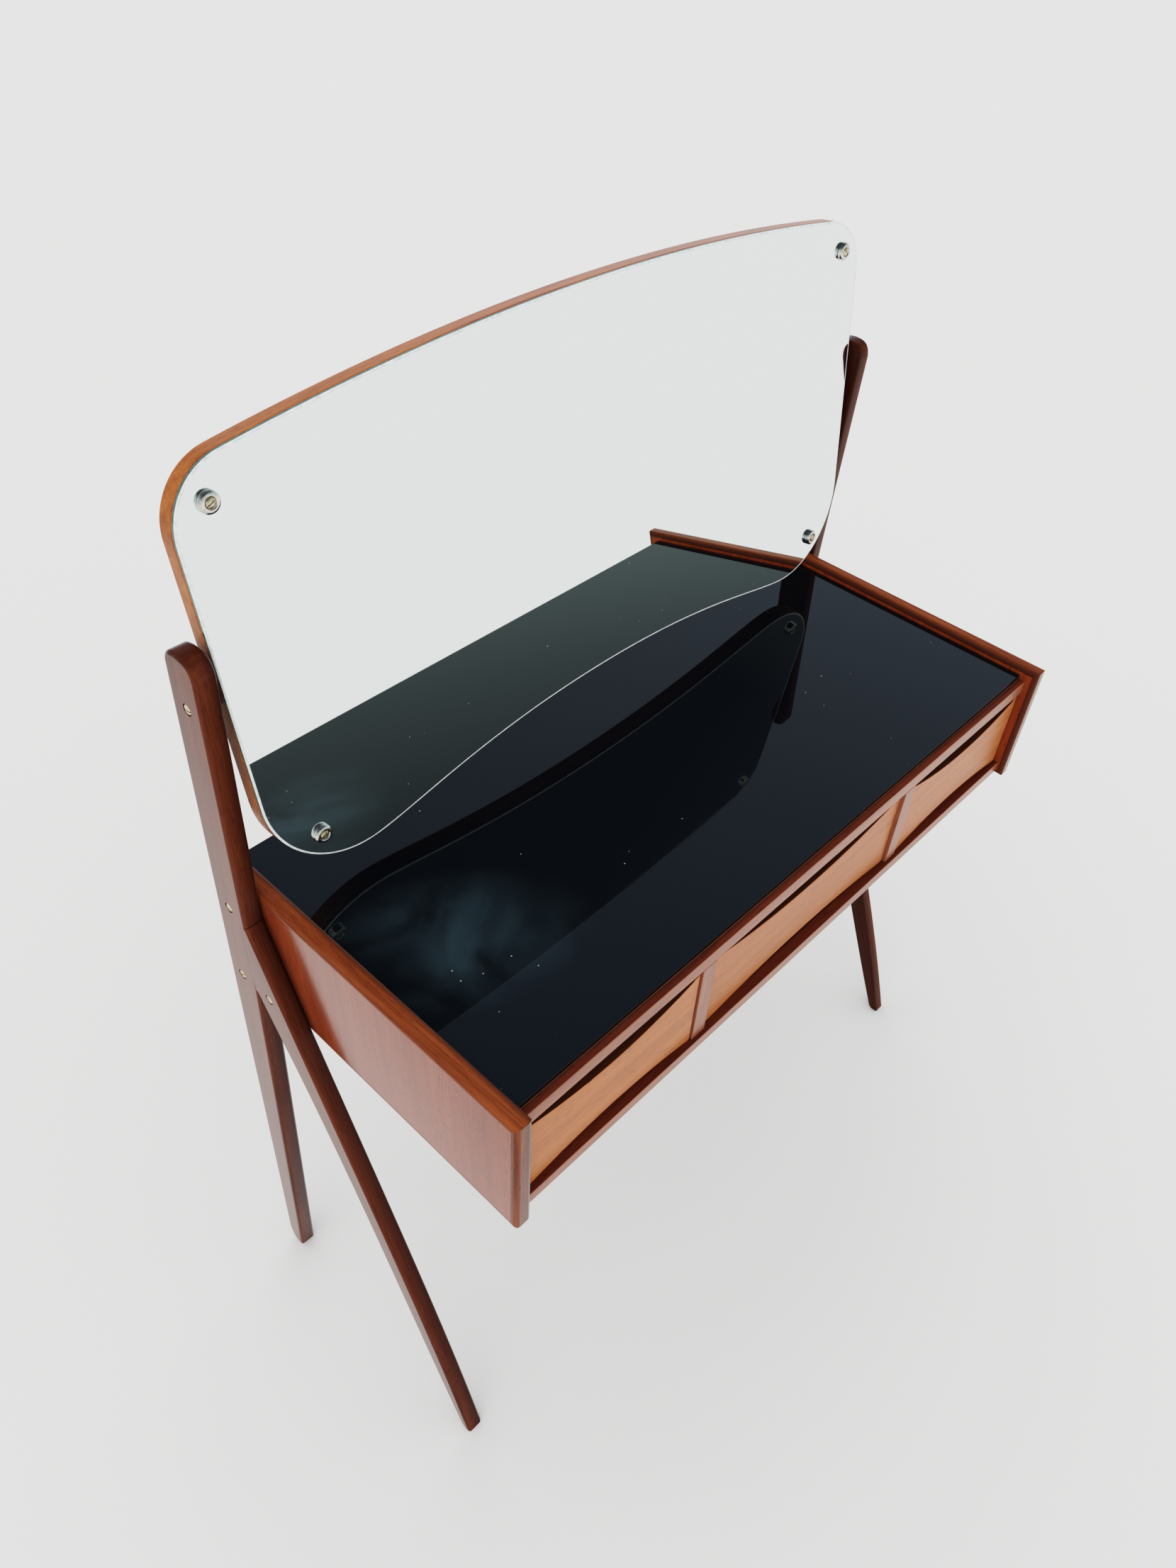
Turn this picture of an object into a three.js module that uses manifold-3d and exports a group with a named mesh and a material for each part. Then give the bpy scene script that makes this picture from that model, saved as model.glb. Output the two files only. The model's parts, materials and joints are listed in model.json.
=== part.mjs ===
// Vanity table with a tilting mirror: a three-drawer case of veneered board hangs between two
// pairs of solid teak legs, whose rear uprights run on past the table top to carry the mirror.
// Millimetres, +Z up. Origin: on the floor, in the middle of the bounding box. -Y is the front.
import * as THREE from 'three';
import { mergeVertices } from 'three/addons/utils/BufferGeometryUtils.js';
import Module from 'manifold-3d';

const wasm = await Module();
wasm.setup();

// ---------------------------------------------------------------- driving dimensions
const depth = 411;              // front tip of the side panels to the back panel
const clearance = 0.3;          // gap between pieces that touch
const glueLine = 0.15;          // half that gap, on each side of a mitre

const panelOuterX = 430;        // outer face of a side panel
const panelThickness = 19.4;
const panelBottomZ = 570;
const panelTopZ = 730;
const lippingThickness = 6;     // solid edging on the top, front and bottom of a side panel
const lippingRound = 3;

const glassTopZ = 720.4;        // upper face of the black glass, proud of the front rail
const glassThickness = 6;
const topRailFrontY = 12.8;     // set back from the front tip
const topRailDepth = 7.5;
const topRailTopZ = 714;
const openingTopZ = 696.5;
const openingBottomZ = 588.3;
const bottomRailFrontY = 8.6;
const bottomRailDepth = 12;
const bottomRailBottomZ = 573.7;
const backPanelThickness = 7.5;
const backPanelTopZ = 711.5;
const dividerX = 170.6;
const dividerThickness = 19.5;

const legInnerX = 430.3;        // the legs are screwed flat against the side panels
const legThickness = 20.3;
const legOuterX = legInnerX + legThickness;
const legRound = 3;
const uprightTopZ = 1009;

const drawerFrontThickness = 16;
const drawerArchDip = 17;       // how far the top edge of a front sinks in the middle
const drawerArchRise = 12;      // how far its bottom edge rises in the middle
const drawerFrontTopZ = 691;
const drawerFrontBottomZ = 588.7;
const drawerSideGap = 1.2;
const drawerSideThickness = 9;
const drawerLength = 352;
const drawerSideRecess = 2;     // the outer fronts sit this far behind the rail
const drawerMiddleRecess = 4;

const pivotY = 349.1;           // mirror pivot, from the front tip
const pivotZ = 956;
const mirrorLean = THREE.MathUtils.degToRad(7.59);
const mirrorBoardThickness = 16;
const mirrorGlassThickness = 4.5;
const mirrorGlassGap = 0.4;

// ---------------------------------------------------------------- materials
const material = (color, roughness, metalness) =>
  new THREE.MeshStandardMaterial({ color, roughness, metalness });
const teakDark = material(0x7a3b1e, 0.3, 0);
const teakLipping = material(0x8f4c20, 0.3, 0);
const teakVeneer = material(0x9a5a34, 0.3, 0);
const teakFront = material(0xc28a66, 0.35, 0);
const beech = material(0xc9a67c, 0.6, 0);
const plywood = material(0xb08a5c, 0.7, 0);
const hardboard = material(0x4a3020, 0.8, 0);
const blackGlass = material(0x14171b, 0.06, 0);
const silvered = material(0xdfe4e2, 0.03, 1);
const brass = material(0xb9a06a, 0.35, 1);
const nickel = material(0xb8b4a8, 0.3, 1);
const rubber = material(0x1c1c1c, 0.8, 0);

// ---------------------------------------------------------------- solids and booleans
const fromFront = (y) => y - depth / 2;

function solid(geometry) {
  const bare = geometry.index ? geometry.toNonIndexed() : geometry.clone();
  for (const name of Object.keys(bare.attributes)) {
    if (name !== 'position') bare.deleteAttribute(name);
  }
  const merged = mergeVertices(bare, 1e-4);
  return new wasm.Manifold(new wasm.Mesh({
    numProp: 3,
    vertProperties: new Float32Array(merged.attributes.position.array),
    triVerts: new Uint32Array(merged.index.array),
  }));
}

function geometryOf(manifold) {
  const { vertProperties, triVerts, numProp } = manifold.getMesh();
  const places = new Float32Array((vertProperties.length / numProp) * 3);
  for (let i = 0; i < places.length / 3; i += 1) {
    for (let k = 0; k < 3; k += 1) places[3 * i + k] = vertProperties[numProp * i + k];
  }
  const geometry = new THREE.BufferGeometry();
  geometry.setAttribute('position', new THREE.BufferAttribute(places, 3));
  geometry.setIndex(new THREE.BufferAttribute(new Uint32Array(triVerts), 1));
  geometry.computeVertexNormals();
  return geometry;
}

function box(x0, x1, y0, y1, z0, z1) {
  const geometry = new THREE.BoxGeometry(x1 - x0, y1 - y0, z1 - z0);
  geometry.translate((x0 + x1) / 2, (y0 + y1) / 2, (z0 + z1) / 2);
  return geometry;
}

// A box across the table, between two distances from the front tip.
const boxBehind = (x0, x1, y0, y1, z0, z1) => box(x0, x1, fromFront(y0), fromFront(y1), z0, z1);

// A THREE.Shape drawn in an upright plane and pushed through the given span. Its arrises are
// rounded by `round`, which never makes the shape larger.
function extrude(shape, from, to, round, curveSegments = 12) {
  const options = {
    depth: to - from - 2 * round, steps: 1, curveSegments, bevelEnabled: round > 0,
    bevelThickness: round, bevelSize: round, bevelOffset: -round, bevelSegments: 2,
  };
  return new THREE.ExtrudeGeometry(shape, options).translate(0, 0, from + round);
}

// The shape's (x, y) becomes the table's (y, z), and the push runs along X.
function alongX(shape, x0, x1, round = 0, curveSegments = 12) {
  return extrude(shape, x0, x1, round, curveSegments)
    .applyMatrix4(new THREE.Matrix4().set(0, 0, 1, 0, 1, 0, 0, 0, 0, 1, 0, 0, 0, 0, 0, 1));
}

// The shape's (x, y) becomes the table's (x, z), and the push runs along Y.
function alongY(shape, y0, y1, round = 0, curveSegments = 12) {
  return extrude(shape, -y1, -y0, round, curveSegments).rotateX(Math.PI / 2);
}

function polygon(points) {
  return new THREE.Shape(points.map(([x, y]) => new THREE.Vector2(x, y)));
}

// A turned solid about the X axis. `profile` lists [distance along +X, radius].
function turnedX(profile, segments, x, y, z, side = 1) {
  const points = profile.map(([along, radius]) => new THREE.Vector2(radius, along));
  return new THREE.LatheGeometry(points, segments)
    .rotateZ(-side * Math.PI / 2).translate(x, y, z);
}

// A turned solid about the Y axis. `profile` lists [distance along -Y, radius].
function turnedY(profile, segments, x, y, z) {
  const points = profile.map(([along, radius]) => new THREE.Vector2(radius, along));
  return new THREE.LatheGeometry(points, segments).rotateX(Math.PI).translate(x, y, z);
}

const rod = (from, to, radius) => [[from, 0], [from, radius], [to, radius], [to, 0]];

const table = new THREE.Group();

function add(name, geometry, finish, parent = table) {
  const mesh = new THREE.Mesh(geometry, finish);
  mesh.name = name;
  parent.add(mesh);
  return mesh;
}

const sides = [['left', -1], ['right', 1]];
const spanX = (side, inner, outer) => (side > 0 ? [inner, outer] : [-outer, -inner]);

// ---------------------------------------------------------------- screw positions, one side
const pivotPlace = [pivotY, pivotZ];
const uprightScrews = [[360.7, 712.3], [366.1, 608.4]];
const frontLegScrew = [321.9, 609.2];
const screwNames = ['upper', 'lower', 'front'];
const screwHead = { radius: 5, height: 3.4, slotWidth: 1.3, slotDepth: 1.4 };
const screwShankRadius = 2.2;
const screwDepth = 16;          // how deep a case screw runs into the side panel
const boreRadius = 6.3;         // counterbore around a screw head
const boreDepth = 4.2;
const pivotShankRadius = 3;

function screwHole(side, place, shankRadius, from, to) {
  const [y, z] = place;
  const [x0, x1] = spanX(side, from, to);
  return solid(turnedX(rod(0, x1 - x0, shankRadius), 16, x0, fromFront(y), z));
}

function cutLegHole(leg, side, place, shankRadius) {
  const through = screwHole(side, place, shankRadius + clearance, legInnerX - 5, legOuterX + 5);
  const bore = screwHole(side, place, boreRadius, legOuterX - boreDepth, legOuterX + 5);
  return leg.subtract(through).subtract(bore);
}

// A slotted raised countersunk screw, its head outwards. `reach` is its whole length.
function slottedScrew(side, place, shankRadius, reach, slotAngle) {
  const { radius, height, slotWidth, slotDepth } = screwHead;
  const [y, z] = place;
  const top = legOuterX - 0.4;
  const profile = [
    [0, 0], [0, radius * 0.35], [-0.35, radius * 0.72], [-1, radius * 0.94], [-1.5, radius],
    [-2, radius], [-height, radius * 0.94], [-height - 0.01, shankRadius],
    [-reach + 3, shankRadius], [-reach, 0.4], [-reach, 0],
  ].reverse();
  const body = solid(turnedX(profile, 14, side * top, fromFront(y), z, side));
  const slot = new THREE.BoxGeometry(2 * slotDepth, slotWidth, 2 * radius + 2)
    .rotateX(slotAngle).translate(side * top, fromFront(y), z);
  return geometryOf(body.subtract(solid(slot)));
}

// ---------------------------------------------------------------- legs
// The rear edge and the two front edges of an upright are straight lines that lean with height.
const uprightRearY = (z) => 412.1 - 0.0431 * z;
const uprightFrontY = (z) => 362.2 - 0.0342 * z;
const rearLegFrontY = (z) => 387.8 - 0.0738 * z;

const jointTop = [338.4, 699.1];      // where the front leg leaves the upright
const jointStep = [347.2, 695.6];     // its top corner is let into the upright
const crotch = [344.3, 600];

function uprightShape() {
  const shape = new THREE.Shape();
  const topDome = 3;
  shape.moveTo(fromFront(rearLegFrontY(0)), 0);
  shape.lineTo(fromFront(rearLegFrontY(crotch[1])), crotch[1]);
  shape.lineTo(fromFront(jointTop[0]), jointTop[1]);
  shape.lineTo(fromFront(uprightFrontY(991)), 991);
  shape.quadraticCurveTo(fromFront(uprightFrontY(1005)), 1006.5, fromFront(339.5), 1008);
  shape.quadraticCurveTo(fromFront(348), 1008 + topDome, fromFront(357), 1007.5);
  shape.quadraticCurveTo(fromFront(uprightRearY(1006)), 1006, fromFront(uprightRearY(994)), 994);
  shape.lineTo(fromFront(uprightRearY(30)), 30);
  shape.quadraticCurveTo(fromFront(409.8), 3, fromFront(399), 0);
  shape.lineTo(fromFront(rearLegFrontY(0)), 0);
  return shape;
}

// The front leg is bandsawn: both edges are long slow curves that close in on the foot.
function frontLegShape(headY) {
  const shape = new THREE.Shape();
  shape.moveTo(fromFront(55), 0);
  shape.bezierCurveTo(fromFront(129), 233, fromFront(244), 466, fromFront(337), 699);
  shape.lineTo(fromFront(headY), 744);
  shape.lineTo(fromFront(headY), crotch[1]);
  shape.lineTo(fromFront(343.2), crotch[1]);
  shape.quadraticCurveTo(fromFront(326), 562, fromFront(306.4), 531);
  shape.bezierCurveTo(fromFront(212.4), 354, fromFront(149.4), 177, fromFront(70.5), 5);
  shape.lineTo(fromFront(66), 0);
  shape.lineTo(fromFront(55), 0);
  return shape;
}

function jointRegion(grow) {
  const far = 480;
  return polygon([
    [jointTop[0] - 40, jointTop[1] + 16 - grow], [jointTop[0], jointTop[1] - grow],
    [jointStep[0] - grow, jointStep[1] - grow], [crotch[0] - grow, crotch[1]],
    [crotch[0] - grow, crotch[1] - 1], [far, crotch[1] - 1], [far, 800], [jointTop[0] - 40, 800],
  ].map(([y, z]) => [fromFront(y), z]));
}

function frontLegHead() {
  const grow = clearance;
  return polygon([
    [jointTop[0] - 30, jointTop[1] + 12], [jointTop[0], jointTop[1]], jointStep, crotch,
    [crotch[0] - 0.4, crotch[1] - grow], [crotch[0] - 60, crotch[1] - grow],
    [jointTop[0] - 60, jointTop[1]],
  ].map(([y, z]) => [fromFront(y), z]));
}

for (const [name, side] of sides) {
  const [x0, x1] = spanX(side, legInnerX, legOuterX);
  const wide = spanX(side, legInnerX - 5, legOuterX + 5);

  let upright = solid(alongX(uprightShape(), x0, x1, legRound, 4));
  upright = upright.subtract(solid(alongX(frontLegHead(), ...wide)));
  upright = cutLegHole(upright, side, pivotPlace, pivotShankRadius);
  for (const place of uprightScrews) {
    upright = cutLegHole(upright, side, place, screwShankRadius);
  }
  add(`rear_upright_${name}`, geometryOf(upright), teakDark);

  let leg = solid(alongX(frontLegShape(358), x0, x1, legRound, 8));
  leg = leg.subtract(solid(alongX(jointRegion(clearance), ...wide)));
  leg = cutLegHole(leg, side, frontLegScrew, screwShankRadius);
  add(`front_leg_${name}`, geometryOf(leg), teakDark);

  const angles = [0.5, 1.9, 1.1];
  [...uprightScrews, frontLegScrew].forEach((place, i) => {
    const reach = legThickness + screwDepth - 1;
    const screw = slottedScrew(side, place, screwShankRadius, reach, side * angles[i]);
    add(`case_screw_${screwNames[i]}_${name}`, screw, brass);
  });
}

// ---------------------------------------------------------------- side panels and lippings
function panelOutline(inset) {
  return polygon([
    [inset, panelBottomZ + inset], [depth, panelBottomZ + inset],
    [depth, panelTopZ - inset], [inset, panelTopZ - inset],
  ].map(([y, z]) => [fromFront(y), z]));
}

// The section of a lipping: flat where it is glued, its two outer arrises rounded.
function lippingSection(x0, x1) {
  const shape = new THREE.Shape();
  const r = lippingRound;
  const crown = lippingThickness;
  shape.moveTo(x0, 0);
  shape.lineTo(x1, 0);
  shape.absarc(x1 - r, crown - r, r, 0, Math.PI / 2, false);
  shape.absarc(x0 + r, crown - r, r, Math.PI / 2, Math.PI, false);
  shape.lineTo(x0, 0);
  return shape;
}

// What a lipping keeps between its mitres, seen from the side of the table.
function mitreRegion(kind) {
  const [g, out, far] = [glueLine, 2, 20];
  const [low, high, rear] = [panelBottomZ, panelTopZ, depth + 2];
  const regions = {
    top: [[-out, high + out + g], [far, high - far + g], [rear, high - far + g],
      [rear, high + out + g]],
    bottom: [[-out, low - out - g], [rear, low - out - g], [rear, low + far - g],
      [far, low + far - g]],
    front: [[-out, low - out + g], [far, low + far + g], [far, high - far - g],
      [-out, high + out - g]],
  };
  return polygon(regions[kind].map(([y, z]) => [fromFront(y), z]));
}

function lipping(kind, x0, x1) {
  const section = lippingSection(x0, x1);
  const t = lippingThickness;
  const [front, back] = [fromFront(0), fromFront(depth)];
  const bars = {
    top: () => extrude(section, -back, -front, 0, 4).rotateX(Math.PI / 2)
      .translate(0, 0, panelTopZ - t),
    bottom: () => extrude(section, front, back, 0, 4).rotateX(-Math.PI / 2)
      .translate(0, 0, panelBottomZ + t),
    front: () => extrude(section, -panelTopZ, -panelBottomZ, 0, 4).rotateX(Math.PI)
      .translate(0, front + t, 0),
  };
  const region = solid(alongX(mitreRegion(kind), x0 - 2, x1 + 2));
  return geometryOf(solid(bars[kind]()).intersect(region));
}

for (const [name, side] of sides) {
  const [x0, x1] = spanX(side, panelOuterX - panelThickness, panelOuterX);
  const blind = [panelOuterX - screwDepth, panelOuterX + 5];

  let panel = solid(alongX(panelOutline(lippingThickness + clearance), x0, x1));
  for (const place of [...uprightScrews, frontLegScrew]) {
    panel = panel.subtract(screwHole(side, place, screwShankRadius + clearance, ...blind));
  }
  add(`side_panel_${name}`, geometryOf(panel), teakVeneer);
  for (const kind of ['top', 'front', 'bottom']) {
    add(`${kind}_lipping_${name}`, lipping(kind, x0, x1), teakLipping);
  }
}

// ---------------------------------------------------------------- case boards and rails
const caseHalfWidth = panelOuterX - panelThickness - clearance;
const backPanelFrontY = depth - backPanelThickness;
const boardRearY = backPanelFrontY - clearance;
const topRailRearY = topRailFrontY + topRailDepth;
const bottomRailRearY = bottomRailFrontY + bottomRailDepth;
const glassBottomZ = glassTopZ - glassThickness;
const glassEdgeGap = 0.5;
const railRound = 0.8;
const glassRound = 0.5;

// A board across the case with softened arrises.
function bar(x0, x1, y0, y1, z0, z1, round) {
  const section = polygon([[y0, z0], [y1, z0], [y1, z1], [y0, z1]]
    .map(([y, z]) => [fromFront(y), z]));
  return alongX(section, x0, x1, round);
}

const halfWidth = [-caseHalfWidth, caseHalfWidth];
add('top_board', boxBehind(...halfWidth, topRailRearY + clearance, boardRearY,
  openingTopZ, glassBottomZ - clearance), plywood);
add('glass_top', bar(-caseHalfWidth + glassEdgeGap, caseHalfWidth - glassEdgeGap,
  topRailRearY + glassEdgeGap, boardRearY, glassBottomZ, glassTopZ, glassRound), blackGlass);
add('top_front_rail', bar(...halfWidth, topRailFrontY, topRailRearY,
  openingTopZ, topRailTopZ, railRound), teakLipping);
add('bottom_board', boxBehind(...halfWidth, bottomRailRearY + clearance, boardRearY,
  bottomRailBottomZ, openingBottomZ), plywood);
add('bottom_front_rail', bar(...halfWidth, bottomRailFrontY, bottomRailRearY,
  bottomRailBottomZ, openingBottomZ, railRound), teakLipping);
add('back_panel', boxBehind(...halfWidth, backPanelFrontY, depth,
  bottomRailBottomZ, backPanelTopZ), hardboard);
for (const [name, side] of sides) {
  const x = side * dividerX;
  add(`divider_${name}`, boxBehind(x - dividerThickness / 2, x + dividerThickness / 2,
    topRailFrontY, boardRearY, openingBottomZ + clearance, openingTopZ - clearance),
  teakLipping);
}

// ---------------------------------------------------------------- drawers
const drawerSideBottomZ = 589;
const drawerSideTopZ = 668;
const drawerBackTopZ = 662;
const drawerPlyBottomZ = 605;
const drawerPlyThickness = 4;
const grooveDepth = 4;
const frontLap = 7;             // how much of a front covers the ends of its sides
const frontCornerRound = 4;
const frontArrisRound = 1;

// Seen from the front, a drawer front is a bow tie: low in the middle and tall at its ends.
function drawerFrontShape(x0, x1) {
  const middle = (x0 + x1) / 2;
  const [low, high, r] = [drawerFrontBottomZ, drawerFrontTopZ, frontCornerRound];
  const shape = new THREE.Shape();
  shape.moveTo(x0 + r, low);
  shape.quadraticCurveTo(middle, low + 2 * drawerArchRise, x1 - r, low);
  shape.quadraticCurveTo(x1, low, x1, low + r);
  shape.lineTo(x1, high);
  shape.quadraticCurveTo(middle, high - 2 * drawerArchDip, x0, high);
  shape.lineTo(x0, low + r);
  shape.quadraticCurveTo(x0, low, x0 + r, low);
  return shape;
}

function buildDrawer(name, openFrom, openTo, recess) {
  const [x0, x1] = [openFrom + drawerSideGap, openTo - drawerSideGap];
  const frontY = topRailFrontY + recess;
  const frontBackY = frontY + drawerFrontThickness;
  const rearY = frontY + drawerLength;
  const t = drawerSideThickness;
  const [innerX0, innerX1] = [x0 + t, x1 - t];
  const plyTopZ = drawerPlyBottomZ + drawerPlyThickness;
  const groove = solid(boxBehind(innerX0 - grooveDepth, innerX1 + grooveDepth,
    frontBackY - grooveDepth, rearY + 1, drawerPlyBottomZ - clearance, plyTopZ + clearance));

  const shape = drawerFrontShape(x0, x1);
  let front = solid(alongY(shape, fromFront(frontY), fromFront(frontBackY), frontArrisRound, 10));
  for (const [lapFrom, lapTo] of [[x0 - 1, innerX0], [innerX1, x1 + 1]]) {
    front = front.subtract(solid(boxBehind(lapFrom - clearance, lapTo + clearance,
      frontY + frontLap, frontBackY + 1, drawerFrontBottomZ - 1, drawerFrontTopZ + 1)));
  }
  front = front.subtract(groove);
  add(`drawer_front_${name}`, geometryOf(front), teakFront);

  for (const [side, sideX0] of [['a', x0], ['b', innerX1]]) {
    const board = solid(boxBehind(sideX0, sideX0 + t, frontY + frontLap + clearance, rearY,
      drawerSideBottomZ, drawerSideTopZ));
    add(`drawer_side_${name}_${side}`, geometryOf(board.subtract(groove)), beech);
  }
  add(`drawer_back_${name}`, boxBehind(innerX0 + clearance, innerX1 - clearance,
    rearY - t, rearY, plyTopZ + 2 * clearance, drawerBackTopZ), beech);
  add(`drawer_bottom_${name}`, boxBehind(innerX0 - grooveDepth + clearance,
    innerX1 + grooveDepth - clearance, frontBackY - grooveDepth + clearance, rearY,
    drawerPlyBottomZ, plyTopZ), plywood);
}

const openingOuterX = panelOuterX - panelThickness;
const dividerOuterX = dividerX + dividerThickness / 2;
const dividerInnerX = dividerX - dividerThickness / 2;
buildDrawer('left', -openingOuterX, -dividerOuterX, drawerSideRecess);
buildDrawer('middle', -dividerInnerX, dividerInnerX, drawerMiddleRecess);
buildDrawer('right', dividerOuterX, openingOuterX, drawerSideRecess);

// ---------------------------------------------------------------- mirror
// The mirror is drawn upright around its pivot, glass towards -Y, and then leaned back.
const mirror = new THREE.Group();
mirror.position.set(0, fromFront(pivotY), pivotZ);
mirror.rotation.x = -mirrorLean;
table.add(mirror);

const topArc = { radius: 2700, apex: 217 };
const upperCorner = { radius: 58, x: 369.5 };
const lowerCorner = { radius: 97, x: 323, z: -111 };
const bottomWaist = { z: -172, reachOut: 182, reachIn: 276 };
const topArcCentre = topArc.apex - topArc.radius;
upperCorner.z = topArcCentre
  + Math.sqrt((topArc.radius - upperCorner.radius) ** 2 - upperCorner.x ** 2);

// The angle at which the straight side touches both corner arcs.
const cornerRise = upperCorner.z - lowerCorner.z;
const cornerRun = upperCorner.x - lowerCorner.x;
const sideAngle = Math.atan2(cornerRise, cornerRun)
  - Math.acos((lowerCorner.radius - upperCorner.radius) / Math.hypot(cornerRise, cornerRun));

function mirrorShape() {
  const { PI } = Math;
  const join = Math.atan2(upperCorner.z - topArcCentre, upperCorner.x);
  const lowest = lowerCorner.z - lowerCorner.radius;
  const { z, reachOut, reachIn } = bottomWaist;
  const shape = new THREE.Shape();
  shape.moveTo(0, z);
  shape.bezierCurveTo(reachOut, z, reachIn, lowest, lowerCorner.x, lowest);
  shape.absarc(lowerCorner.x, lowerCorner.z, lowerCorner.radius, -PI / 2, sideAngle, false);
  shape.absarc(upperCorner.x, upperCorner.z, upperCorner.radius, sideAngle, join, false);
  shape.absarc(0, topArcCentre, topArc.radius, join, PI - join, false);
  shape.absarc(-upperCorner.x, upperCorner.z, upperCorner.radius, PI - join, PI - sideAngle);
  shape.absarc(-lowerCorner.x, lowerCorner.z, lowerCorner.radius, PI - sideAngle, 1.5 * PI);
  shape.bezierCurveTo(-reachIn, lowest, -reachOut, z, 0, z);
  return shape;
}

const boardHalf = mirrorBoardThickness / 2;
const glassBackY = -boardHalf - mirrorGlassGap;
const glassFrontY = glassBackY - mirrorGlassThickness;
const mirrorEdgeX = upperCorner.x + upperCorner.radius * Math.cos(sideAngle)
  + (upperCorner.z + upperCorner.radius * Math.sin(sideAngle)) * Math.tan(sideAngle);

const cupPlaces = [
  ['upper_left', -395.8, 157.2, 0.4], ['upper_right', 395.8, 157.2, 2.2],
  ['lower_left', -370.4, -169.6, 1.2], ['lower_right', 370.4, -169.6, 0.1],
];
const cupScrewRadius = 2;
const cupScrewDepth = 12;       // how far a cup screw runs into the board
const cupScrewHead = { radius: 4.25, top: 5.6, seat: 2.4, slotWidth: 1.1, slotDepth: 1.3 };
const glassHoleRadius = 3.5;
const insert = { outer: 4, inner: 3.3, length: 13 };

let board = solid(alongY(mirrorShape(), -boardHalf, boardHalf, 0.8, 8));
let glass = solid(alongY(mirrorShape(), glassFrontY, glassBackY, 0.7, 8));
for (const [, x, z] of cupPlaces) {
  const pilot = rod(-cupScrewDepth, 10, cupScrewRadius + clearance);
  board = board.subtract(solid(turnedY(pilot, 16, x, -boardHalf, z)));
  glass = glass.subtract(solid(turnedY(rod(-10, 10, glassHoleRadius), 16, x, glassBackY, z)));
}
for (const [, side] of sides) {
  const socket = rod(-insert.length - 1, 12, insert.outer + clearance);
  board = board.subtract(solid(turnedX(socket, 20, side * mirrorEdgeX, 0, 0, side)));
}
add('mirror_board', geometryOf(board), teakLipping, mirror);
add('mirror_glass', geometryOf(glass), silvered, mirror);

// The washer is a turned cup with a coned seat, standing proud of the glass.
const cupProfile = [
  [0, 2.6], [0, 8.9], [0.5, 9], [2.6, 9], [4, 8.4], [4.8, 7.2], [5.1, 5.6], [4.7, 4.7],
  [1.6, 2.6], [0, 2.6],
];
for (const [name, x, z, slotAngle] of cupPlaces) {
  const seat = glassFrontY - clearance;
  add(`cup_washer_${name}`, turnedY(cupProfile, 18, x, seat, z), nickel, mirror);

  const { radius, top, seat: cone, slotWidth, slotDepth } = cupScrewHead;
  const tip = -(cupScrewDepth - 0.5 + mirrorGlassGap + mirrorGlassThickness + clearance);
  const profile = [
    [tip, 0], [tip, 0.4], [tip + 4, cupScrewRadius], [cone - 0.3, cupScrewRadius],
    [top - 1, radius], [top - 0.5, radius * 0.9], [top, radius * 0.4], [top, 0],
  ];
  const body = solid(turnedY(profile, 14, x, seat, z));
  const slot = new THREE.BoxGeometry(2 * radius + 2, 2 * slotDepth, slotWidth)
    .rotateY(slotAngle).translate(x, seat - top, z);
  add(`cup_screw_${name}`, geometryOf(body.subtract(solid(slot))), brass, mirror);
}

// ---------------------------------------------------------------- mirror pivots
// Each pivot screw turns in its upright, runs through a friction spacer, and is driven into a
// threaded insert in the edge of the mirror board.
const spacer = { outer: 8, inner: pivotShankRadius + clearance, edgeGap: 0.7 };

for (const [name, side] of sides) {
  const reach = legOuterX - mirrorEdgeX + insert.length - 1.5;
  const screw = slottedScrew(side, pivotPlace, pivotShankRadius, reach, Math.PI / 2);
  add(`pivot_screw_${name}`, screw, brass);

  const ring = (from, to, outer, inner) => {
    const profile = [[from, inner], [from, outer], [to, outer], [to, inner], [from, inner]];
    return turnedX(profile, 18, 0, fromFront(pivotY), pivotZ, side);
  };
  add(`pivot_spacer_${name}`, ring(mirrorEdgeX + spacer.edgeGap, legInnerX - clearance,
    spacer.outer, spacer.inner), rubber);
  add(`pivot_insert_${name}`, ring(mirrorEdgeX - insert.length - 0.5, mirrorEdgeX - 0.5,
    insert.outer, insert.inner), brass);
}

export default table;
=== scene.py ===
# A vanity table with a tilting mirror, put together in the order a maker would: legs, case,
# black glass, drawers, screws, and last the mirror with its cups and pivots. Metres, +Z up,
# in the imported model's own frame; `mm` turns workshop sizes into metres.
import json
import math

import bmesh
import bpy
from mathutils import Matrix, Vector
from mathutils.geometry import interpolate_bezier


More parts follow.
